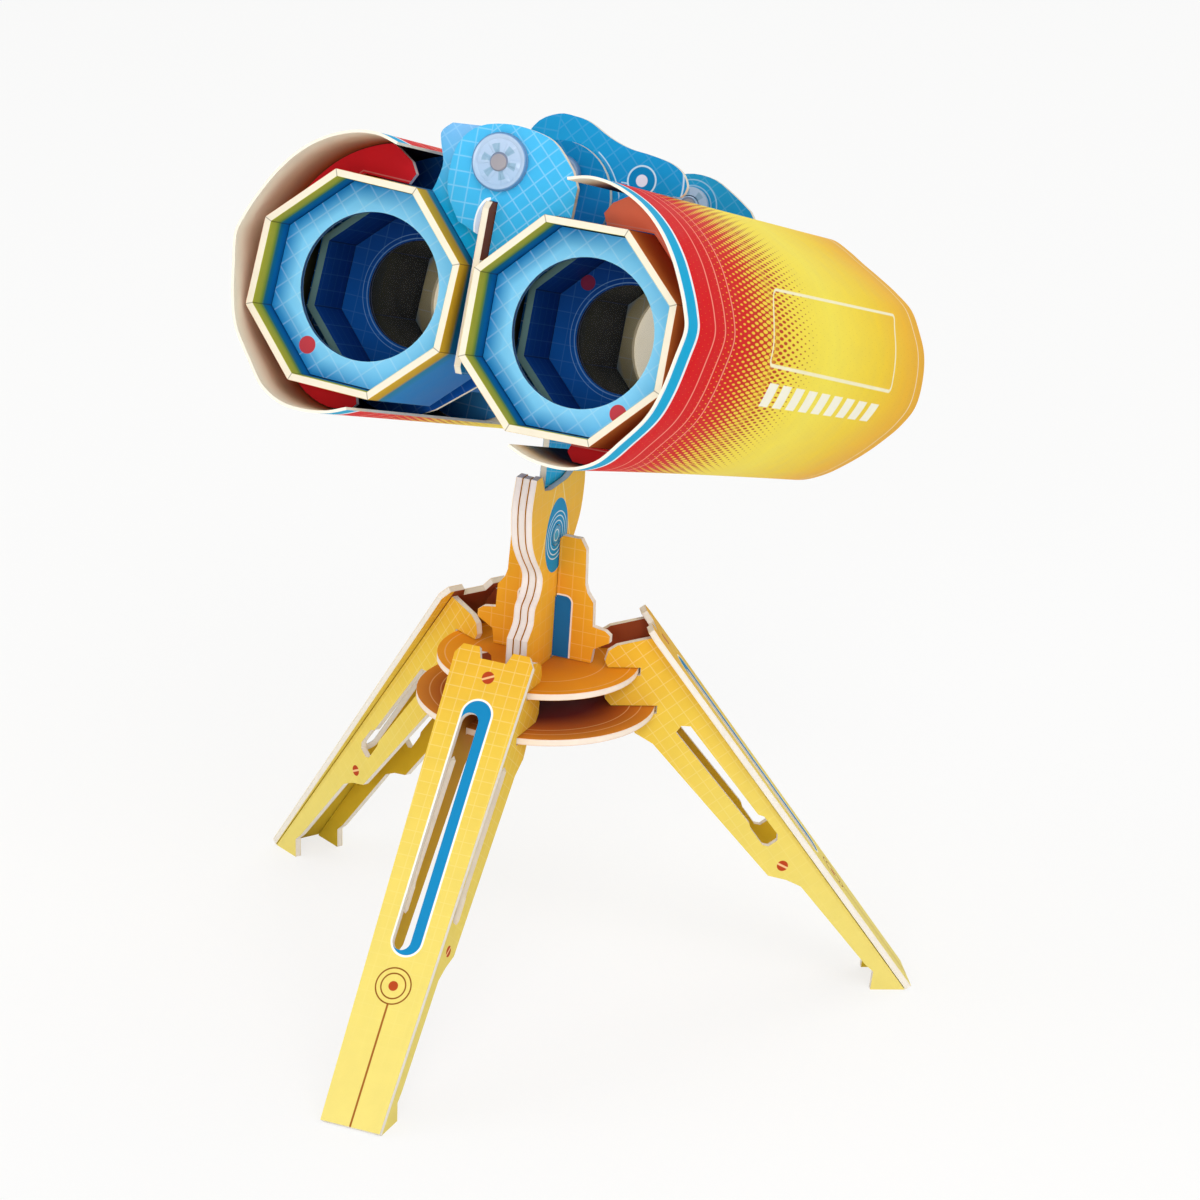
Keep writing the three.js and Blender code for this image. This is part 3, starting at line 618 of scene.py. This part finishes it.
def eyeMark(colour, x, h, ex, eh):  # ringed spot with a short tie, a sweep before it and a tail behind it
    e = spotDistance(x, h, ex, eh)
    colour = over(colour, hingeInk["eye"], inside(minus(e, 4.1)))
    colour = over(colour, hingeInk["eyeLine"], part(inside(hoop(e, 4.2, 0.5)), 0.85))
    colour = over(colour, hingeInk["eyeSpot"], inside(minus(e, 1.75)))
    tie = fold("MAXIMUM", stripe(h, eh - 1.4, 0.36), stripe(x, ex - 4.9, 2.2))
    sweep = hoop(spotDistance(x, h, -2.6, 33.2), 21.0, 0.36)
    sweep = fold("MAXIMUM", sweep, minus(9.0, x), minus(x, 17.6))
    tail = fold("MAXIMUM", hoop(spotDistance(x, h, 20.0, 44.4), 16.0, 0.5), minus(30.0, x))
    return over(colour, hingeInk["eyeLine"], part(inside(fold("MINIMUM", tie, sweep, tail)), 0.75))


def slotMark(colour, x, h, cx, ch, reach):  # pale half oval with a bright outline
    narrow = hingeInk["slotNarrow"]
    bow = spotDistance(calc("MULTIPLY", x, narrow), h, cx * narrow, ch)
    near = inside(minus(x, cx))
    colour = over(colour, hingeInk["slot"], part(inside(minus(bow, reach)), near))
    return over(colour, hingeInk["slotLine"], part(inside(hoop(bow, reach, 0.9)), near))


def finishHingePlate(side, piece, look):
    name = sideNames[side] + "_" + piece
    material, shader = startFinish(name + "Print")
    u, s, h = barrelSpace(side)
    x = calc("ADD", u, barrels["eyeHalf"])
    up = minus(h, barrels["hingeRise"])
    # dark to light tone across the plate, and deeper blues on plates set back: painted shade
    colour = over(look["dark"], look["light"], share(calc("MULTIPLY_ADD", x, -0.3, up), -20, 12))
    slanted = inside(gridLines(calc("ADD", x, h), minus(x, h), 5.4, 0.5), 0.3)
    straight = inside(gridLines(x, h, 4.2, 0.34), 0.3)
    turned = inside(minus(-4.0, x), 0.2)
    lines = calc("ADD", part(slanted, turned), part(straight, minus(1.0, turned)))
    colour = over(colour, hingeInk["grid"], part(lines, look["bold"]))
    for radius in look.get("hoops", ()):
        colour = over(colour, hingeInk["hoop"], part(inside(hoop(length(x, up), radius, 0.4)), 0.4))
    if "eye" in look:
        colour = eyeMark(colour, x, h, *look["eye"])
    if "slot" in look:
        colour = slotMark(colour, x, h, *look["slot"])
    paperGrain(shader, cutEdge(colour, minus(s, look["at"]), barrelInk["edge"]))
    dress([name], material)


# Spine plate: blue, brighter on its tongue, where bright blue print is lightened further as painted light
# against the shade of the covers, with a brown top in front
spine = {"tongue": "#2cc0fa", "plate": "#1f72b4", "top": "#7d4430", "line": "#e6eef2", "topFrom": 14.5,
         "frontEnd": 34.0}


def finishSpine():
    material, shader = startFinish("spinePrint")
    x, s, h = localSpace((eyeMid, (-tiltDown, 0, 0), mm))
    front = inside(minus(s, spine["frontEnd"]), 0.3)
    # brighter tongue: bright blue print lightened further as painted light
    colour = over(spine["tongue"], spine["plate"], share(h, -42, -12))
    colour = over(colour, barrelInk["grid"], part(inside(gridLines(s, h, 4.2, 0.3), 0.2), 0.25))
    colour = over(colour, spine["top"], part(inside(minus(spine["topFrom"], h), 0.2), front))
    colour = over(colour, spine["line"], part(inside(stripe(h, spine["topFrom"] - 0.3, 0.7)), front))
    paperGrain(shader, cutEdge(colour, calc("ADD", x, board / 2), barrelInk["edge"]))
    dress(["spine_plate"], material)


finishSpine()
for barrelSide in (1, -1):
    finishEyepieceTube(barrelSide)
    finishInnerTube(barrelSide)
    finishEyepieceRing(barrelSide)
    finishLensRing(barrelSide)
    finishObjectivePlate(barrelSide)
    finishPlainRings(barrelSide)
    for formerPiece, formerLook in formers.items():
        finishFormer(barrelSide, formerPiece, formerLook)
for (hingeSide, hingePiece), hingeLook in hinges.items():
    finishHingePlate(hingeSide, hingePiece, hingeLook)
print("barrel boards finished")

# Covers: bent card between two section lines; colours go by depth, frame and bars by points of the front line
cover = {"start": -5.0, "end": 215.0, "card": 0.8, "long": 60, "round": 150,
         "front": ((-6, 41), (0, 42.3), (6, 41.8), (12, 39.8), (18, 36.4), (23.4, 31.6), (28.2, 25.2),
                   (32, 18), (34.6, 11.6), (35.9, 6), (34.6, -1.6), (32.4, -11.4), (29.2, -19.4),
                   (23, -27.4), (17.6, -33.4), (11, -36.6), (4, -37.2), (-3, -36.2), (-9, -33.8)),
         "rear": ((-6, 40.3), (0, 40.4), (5.5, 38), (11, 34.8), (17.5, 31.2), (23.6, 27.5), (29.2, 23.2),
                  (33, 17), (35.9, 10.2), (36.9, 2), (36.1, -6), (32.6, -12.4), (28.2, -17.6), (23, -22.8),
                  (17.2, -27.6), (11.4, -31.6), (4.5, -34.6), (-2.5, -35.2), (-9, -33.4)),
         "ground": [(30, "#f3c83a"), (95, "#fbe44c"), (125, "#fce956"), (170, "#f8d63c"), (200, "#f5bd34"),
                    (215, "#ecb03a")],
         "dots": [(5, "#dc0814"), (45, "#d81e1c"), (70, "#c43a1c"), (110, "#a05c18")],
         "dotLong": 7.2, "dotRound": 1.8, "pin": "#f8a08c", "pins": (18.0, 26.5, 34.5),
         "frame": (6.45, 9.6), "frameMid": 132.0, "frameHalf": 58.0, "frameInk": "#fdf6cf",
         "bars": 10.6, "barPitch": 12.0, "barWidth": 7.8, "barHeight": 8.4, "barStart": 80.0, "barMid": 128.0,
         "barReach": 53.0, "barInk": "#fefbe8", "endLine": 208.6, "endInk": "#fbeccb", "white": "#f6fbff",
         "whiteEnd": 5.0, "cyan": "#00aada", "cyanMid": -0.4, "cyanWidth": 7.6, "edge": "#efe8d8",
         # lining: cream card, darkened to brown-black from just behind the front to about the middle as
         # painted shade
         "lining": [(-5, "#f8efdc"), (8, "#ead4b0"), (18, "#bc7e4c"), (25, "#54261a"), (60, "#2a1710"),
                    (104, "#5a4a36"), (130, "#efe4cc"), (215, "#efe4cc")]}


# Smooth line: between two points the curve is the cubic that leaves each along half its neighbours' chord
def smoothLine(points, t):
    p = np.asarray(points, float)
    i = np.clip(np.floor(t).astype(int), 0, len(p) - 2)
    f = (t - i)[:, None]
    a, b = p[i], p[i + 1]
    va = (b - p[np.maximum(i - 1, 0)]) / 2
    vb = (p[np.minimum(i + 2, len(p) - 1)] - a) / 2
    return a + va * f + (3 * (b - a) - 2 * va - vb) * f ** 2 + (2 * (a - b) + va + vb) * f ** 3


def runAlong(line):  # length of a line of points up to each of them
    return np.concatenate([[0], np.cumsum(np.linalg.norm(np.diff(line, axis=0), axis=1))])


def runAt(number):  # length of the front line up to a point number
    last = len(cover["front"]) - 1
    t = np.linspace(0, last, 20 * last + 1)
    return float(np.interp(number, t, runAlong(smoothLine(cover["front"], t))))


# Cover point: section at depth s is the even mix of the two lines; the inner wall lies a card inside it
def coverWalls():
    t = np.linspace(0, len(cover["front"]) - 1, cover["round"] + 1)
    s = np.linspace(cover["start"], cover["end"], cover["long"] + 1)
    mix = (s / cover["end"])[:, None, None]
    front, rear = smoothLine(cover["front"], t), smoothLine(cover["rear"], t)
    line = front[None] * (1 - mix) + rear[None] * mix
    way = np.gradient(line, axis=1)
    way /= np.linalg.norm(way, axis=2, keepdims=True)
    inner = line + cover["card"] * np.stack([way[..., 1], -way[..., 0]], axis=2)
    depth = np.broadcast_to(s[:, None, None], line.shape[:2] + (1,))
    walls = [np.concatenate([w[..., :1], depth, w[..., 1:]], axis=2) for w in (line, inner)]
    return walls, s, runAlong(front)


# Faces of a grid of rows and columns: each cell joins a point to its next neighbours
def gridFaces(rows, columns):
    i, j = np.meshgrid(np.arange(rows - 1), np.arange(columns - 1), indexing="ij")
    a = (i * columns + j).ravel()
    return np.stack([a, a + 1, a + columns + 1, a + columns], axis=1)


# Faces of a rim: each step of an edge of the outer wall joins the same step of the inner wall
def rimFaces(edge, count):
    return np.stack([edge[:-1], edge[:-1] + count, edge[1:] + count, edge[1:]], axis=1)


def addMesh(name, points, faces, uv=None, crease=35):
    mesh = bpy.data.meshes.new(name)
    mesh.from_pydata(points.tolist(), [], faces)
    if uv is not None:
        mesh.uv_layers.new(name="print").data.foreach_set("uv", uv.astype(np.float32).ravel())
    mesh.polygons.foreach_set("use_smooth", np.ones(len(faces), bool))
    mesh.set_sharp_from_angle(angle=math.radians(crease))
    mesh.update()
    piece = bpy.data.objects.new(name, mesh)
    bpy.context.scene.collection.objects.link(piece)
    return piece


# Cover: two walls and four rims; the print map holds depth and run in m, with 1 added inside and 2 on rims
def addCover(side):
    (outer, inner), s, around = coverWalls()
    rows, columns = outer.shape[:2]
    count = rows * columns
    points = np.concatenate([outer.reshape(-1, 3), inner.reshape(-1, 3)])
    points[:, 0] = side * (barrels["eyeHalf"] + points[:, 0])
    skin = gridFaces(rows, columns)
    lining = skin[:, ::-1] + count
    across, down = np.arange(columns), np.arange(rows) * columns
    rims = np.concatenate([rimFaces(across, count), rimFaces(across + count - columns, count)[:, ::-1],
                           rimFaces(down, count)[:, ::-1], rimFaces(down + columns - 1, count)])
    faces = np.concatenate([skin, lining, rims])
    uv = np.stack(np.broadcast_arrays(s[:, None], around[None]), axis=2).reshape(-1, 2) * mm
    corner = np.concatenate([uv, uv])[faces]
    corner[len(skin):2 * len(skin), :, 1] += 1.0
    corner[2 * len(skin):, :, 1] += 2.0
    if side < 0:
        faces, corner = faces[:, ::-1], corner[:, ::-1]
    piece = addMesh(sideNames[side] + "CoverCard", barrelPoint(points, side < 0), faces.tolist(), corner)
    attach(piece, "left_barrel" if side < 0 else "binoculars")
    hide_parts(sideNames[side] + "_cover")
    return piece


def dotScreen(s, w):  # dots on a slanted lattice that shrink with depth, and gaps that grow before them
    along, around = calc("MULTIPLY", s, 1 / cover["dotLong"]), calc("MULTIPLY", w, 1 / cover["dotRound"])
    m, n = (calc("PINGPONG", lattice, 0.5) for lattice in (calc("ADD", along, around), minus(along, around)))
    filled = inside(minus(length(m, n), part(share(s, 112, 62), 0.5)), 0.14)
    holes = inside(minus(length(minus(0.5, m), minus(0.5, n)), part(share(s, 22, 80), 0.56)), 0.14)
    late = part(filled, inside(minus(70.0, s), 8.0))
    early = part(minus(1.0, holes), inside(minus(s, 74.0), 8.0))
    return calc("MAXIMUM", late, early)


def frameLine(s, w):  # rounded rectangle whose ends lean and bend forward
    high, low = (runAt(number) for number in cover["frame"])
    mid, half = (high + low) / 2, (low - high) / 2
    q = calc("MULTIPLY", minus(w, mid), 1 / half)
    bow = calc("MULTIPLY_ADD", q, calc("MULTIPLY_ADD", q, -3.5, 3.75), 4.5)
    box = block(calc("ADD", s, bow), w, cover["frameMid"], mid, cover["frameHalf"], half, 2.2)
    return inside(hoop(box, 0.0, 1.0), 0.3)


def barRow(s, w):  # upright bars at an even pitch
    past = calc("PINGPONG", minus(s, cover["barStart"]), cover["barPitch"] / 2)
    bars = stripe(past, 0.0, cover["barWidth"])
    row = stripe(w, runAt(cover["bars"]), cover["barHeight"])
    return inside(fold("MAXIMUM", bars, row, minus(away(s, cover["barMid"]), cover["barReach"])), 0.3)


# Cover print: bands by depth, the dot screen, pinstripes, frame and bars; then the lining, cream card
# darkened to brown-black inside the cover as painted shade, and the cut rim
def coverPrint():
    material, shader = startFinish("coverPrint", 0.5, 0.03)
    split = node("ShaderNodeSeparateXYZ")
    tree.links.new(node("ShaderNodeUVMap", uv_map="print").outputs[0], split.inputs[0])
    s, raw = (calc("MULTIPLY", split.outputs[i], 1 / mm) for i in (0, 1))
    w = calc("MODULO", raw, 1000.0)
    colour = over(ramp(s, cover["ground"]), ramp(s, cover["dots"]), dotScreen(s, w))
    pins = fold("MINIMUM", *[stripe(s, at, 0.8) for at in cover["pins"]])
    colour = over(colour, cover["pin"], part(inside(pins, 0.4), 0.9))
    colour = over(colour, cover["frameInk"], frameLine(s, w))
    colour = over(colour, cover["barInk"], barRow(s, w))
    colour = over(colour, cover["endInk"], part(inside(stripe(s, cover["endLine"], 0.7), 0.3), 0.8))
    colour = over(colour, cover["white"], inside(minus(s, cover["whiteEnd"]), 0.3))
    colour = over(colour, cover["cyan"], inside(stripe(s, cover["cyanMid"], cover["cyanWidth"]), 0.3))
    # lining: cream card with painted shade inside the cover
    colour = over(colour, ramp(s, cover["lining"]), inside(minus(999.0, raw), 0.5))
    colour = over(colour, cover["edge"], inside(minus(1999.0, raw), 0.5))
    paperGrain(shader, colour, 0.5, 0.02)
    return material


coverMaterial = coverPrint()
for barrelSide in (1, -1):
    addCover(barrelSide).data.materials.append(coverMaterial)
print("covers made")

# Lenses: clear in the eyepieces; in front a cream, nearly opaque lens that glows, painted light standing in
# for the brightness seen through the tube
lenses = {"eyepiece": {"tint": "#1a2a33", "body": 0.06, "glow": 0.0},
          "objective": {"tint": "#e4dcc8", "body": 0.85, "glow": 0.45}}


def finishLens(end, look):
    material, shader = startFinish(end + "LensClear", 0.05, 0.5)
    cloud = noise(200.0)
    milkAndGlow = over(look["tint"], "#ffffff", part(cloud, 0.15))
    plug(shader.inputs["Base Color"], milkAndGlow)
    plug(shader.inputs["Emission Color"], milkAndGlow)
    # the objective's cream body and glow are painted light; the eyepiece lens has no glow
    shader.inputs["Emission Strength"].default_value = look["glow"]
    plug(shader.inputs["Roughness"], calc("MULTIPLY_ADD", cloud, 0.05, 0.03))
    shader.inputs["Alpha"].default_value = look["body"]
    dress([f"{side}_{end}_lens" for side in sideNames.values()], material)


for lensEnd, lensLook in lenses.items():
    finishLens(lensEnd, lensLook)

# Rivets: clear heads with moulded pads about a boss; depth, head size and whether the head faces forward
rivet = {"head": 8.2, "pin": 3.0, "grip": 4.9, "tail": 2.6, "clear": 0.3, "boss": 2.3, "ribs": 6,
         "around": 96, "low": "#a9c6e4", "high": "#bcd2ec", "pad": "#7fa9c2", "bossRim": "#7d88a0",
         "bossInk": "#a39ea4", "rim": "#2f78b0", "body": 0.86,
         "places": {"front": (9.0, 1.0, False), "mid": (56.0, 0.75, False), "rear": (168.0, 1.0, True)}}


def rivetFinish(name, head):
    material, shader = startFinish(name + "RivetClear", 0.2, 0.4)
    x, s, h = localSpace((eyeMid, (-tiltDown, 0, 0), mm))
    up = minus(h, barrels["hingeRise"])
    r = length(x, up)
    turn = calc("MULTIPLY", calc("ARCTAN2", up, x), rivet["ribs"] / 2)
    pads = minus(away(calc("SINE", calc("ADD", turn, 0.5)), 0.0), 0.62)
    pads = fold("MAXIMUM", hoop(r, head * 0.48, head * 0.3), pads)
    colour = over(rivet["low"], rivet["high"], share(up, -6, 6))
    colour = over(colour, rivet["pad"], part(inside(pads, 0.2), 0.7))
    colour = over(colour, rivet["bossRim"], inside(minus(r, rivet["boss"] + 0.4)))
    colour = over(colour, rivet["bossInk"], inside(minus(spotDistance(x, up, 0.1, -0.2), rivet["boss"])))
    # dark blue ring round the edge of the head: painted shadow
    colour = over(colour, rivet["rim"], part(inside(hoop(r, head * 0.97, 0.6), 0.3), 0.8))
    plug(shader.inputs["Base Color"], colour)
    plug(shader.inputs["Roughness"], calc("MULTIPLY_ADD", noise(300.0), 0.1, 0.15))
    shader.inputs["Alpha"].default_value = rivet["body"]
    return material


# Turned piece: the profile of radius and depth is carried round the axis; a wave of ribs lifts the front face
def turnedPiece(name, profile, centre, ribs, flip):
    profile = np.asarray(profile, float)
    rows, n = len(profile), rivet["around"]
    a = np.linspace(0, 2 * math.pi, n, endpoint=False)
    r, y = profile[:, :1], profile[:, 1:] * np.ones((1, n))
    count, rise, near, far = ribs
    band = np.clip(np.minimum(r - near, far - r) / 0.5, 0, 1)
    y = y - rise * band * np.clip(np.cos(count * a)[None] * 2, 0, 1) * (profile[:, 1:] < -1.0)
    y = -y if flip else y
    grid = np.stack([r * np.cos(a), y, r * np.sin(a)], axis=2)
    points = np.concatenate([grid[1:-1].reshape(-1, 3), grid[:1, 0], grid[-1:, 0]])
    i, j = np.meshgrid(np.arange(rows - 3), np.arange(n), indexing="ij")
    k = (j + 1) % n
    quads = np.stack([i * n + j, i * n + k, (i + 1) * n + k, (i + 1) * n + j], axis=2).reshape(-1, 4)
    ring, nextRing = np.arange(n), (np.arange(n) + 1) % n
    last, pole = (rows - 3) * n, (rows - 2) * n
    fans = np.concatenate([np.stack([np.full(n, pole), nextRing, ring], axis=1),
                           np.stack([np.full(n, pole + 1), last + ring, last + nextRing], axis=1)])
    if not flip:
        quads, fans = quads[:, ::-1], fans[:, ::-1]
    return addMesh(name, barrelPoint(points + np.array(centre)), quads.tolist() + fans.tolist(), crease=32)


# Rivet: boss, ribbed face, raised rim and shank follow each other in one profile of radius and depth
def addRivet(name, depth, size, flip):
    head, b, pin = rivet["head"] * size, rivet["boss"], rivet["pin"]
    end = rivet["grip"] + rivet["tail"]
    boss = [(0, -1.5), (b * 0.6, -1.55), (b, -1.7), (b + 0.35, -1.2), (b + 0.6, -1.05)]
    face = [(head * 0.4, -1.05), (head * 0.5, -1.05), (head * 0.6, -1.05), (head * 0.7, -1.05),
            (head * 0.78, -1.1)]
    rim = [(head * 0.84, -1.5), (head * 0.92, -1.6), (head * 0.98, -1.3), (head, -0.8), (head, 0)]
    shank = [(pin, 0), (pin, end - 0.4), (pin - 0.4, end), (0, end)]
    at = depth - rivet["clear"] + (rivet["grip"] - rivet["clear"] if flip else 0.0)
    ribs = (rivet["ribs"], 0.4, b + 0.6, head * 0.74)
    profile = boss + face + rim + shank
    piece = turnedPiece(name + "RivetClear", profile, (0, at, barrels["hingeRise"]), ribs, flip)
    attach(piece, "binoculars")
    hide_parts(name + "_rivet")
    finish = rivetFinish(name, head)
    piece.data.materials.append(finish)
    dress([name + "_rivet_cap"], finish)


for rivetName, rivetPlace in rivet["places"].items():
    addRivet(rivetName, *rivetPlace)
print("clear pieces made")

# Stage: pale floor, white surroundings and soft lamps, each with its place, size in m and power
stage = {"floor": 3.0, "paint": "#f7f7f5", "white": 0.75, "sky": 0.6, "aim": (0, 0, 0.15),
         "lamps": (((0.3, -1.5, 0.62), 0.5, 6.5), ((0.9, -1.0, 1.5), 1.1, 9.5),
                   ((-1.4, -0.9, 1.2), 1.2, 6.0), ((0.2, 1.4, 1.5), 1.2, 6.0))}


def whiteToEye():  # 1 for what the lens sees straight, mirrored or through clear pieces
    path = node("ShaderNodeLightPath")
    return fold("MAXIMUM", *[path.outputs[f"Is {ray} Ray"] for ray in ("Camera", "Glossy", "Transmission")])


def addFloor():
    half = stage["floor"]
    points = np.array([(-half, -half, 0), (half, -half, 0), (half, half, 0), (-half, half, 0)], float)
    floor = addMesh("paleFloor", points, [[0, 1, 2, 3]])
    material, shader = startFinish("paleFloorPaint", 0.9, 0.1)
    shader.inputs["Base Color"].default_value = ink(stage["paint"])
    glow = node("ShaderNodeEmission")
    glow.inputs["Color"].default_value = (1, 1, 1, 1)
    mix = node("ShaderNodeMixShader")
    plug(mix.inputs[0], part(whiteToEye(), stage["white"]))
    tree.links.new(shader.outputs[0], mix.inputs[1])
    tree.links.new(glow.outputs[0], mix.inputs[2])
    out = next(n for n in tree.nodes if n.type == "OUTPUT_MATERIAL")
    tree.links.new(mix.outputs[0], out.inputs[0])
    floor.data.materials.append(material)


def addSky():
    global tree
    world = bpy.data.worlds.new("whiteRoom")
    world.use_nodes = True
    bpy.context.scene.world = world
    tree = world.node_tree
    light = tree.nodes["Background"]
    light.inputs["Color"].default_value = (1, 1, 1, 1)
    plug(light.inputs["Strength"], calc("MULTIPLY_ADD", whiteToEye(), 1 - stage["sky"], stage["sky"]))


def addLamp(number, place, size, power):  # a square lamp that looks at the middle of the part
    lamp = bpy.data.lights.new(f"softLamp{number}", "AREA")
    lamp.size, lamp.energy = size, power
    body = bpy.data.objects.new(f"softLamp{number}", lamp)
    back = np.array(place) - np.array(stage["aim"])
    back /= np.linalg.norm(back)
    right = np.cross((0, 0, 1.0), back)
    right /= np.linalg.norm(right)
    matrix = np.eye(4)
    matrix[:3, 0], matrix[:3, 1] = right, np.cross(back, right)
    matrix[:3, 2], matrix[:3, 3] = back, place
    body.matrix_world = Matrix(matrix.tolist())
    bpy.context.scene.collection.objects.link(body)


addFloor()
addSky()
for lampNumber, lampLook in enumerate(stage["lamps"]):
    addLamp(lampNumber, *lampLook)
print("stage set")
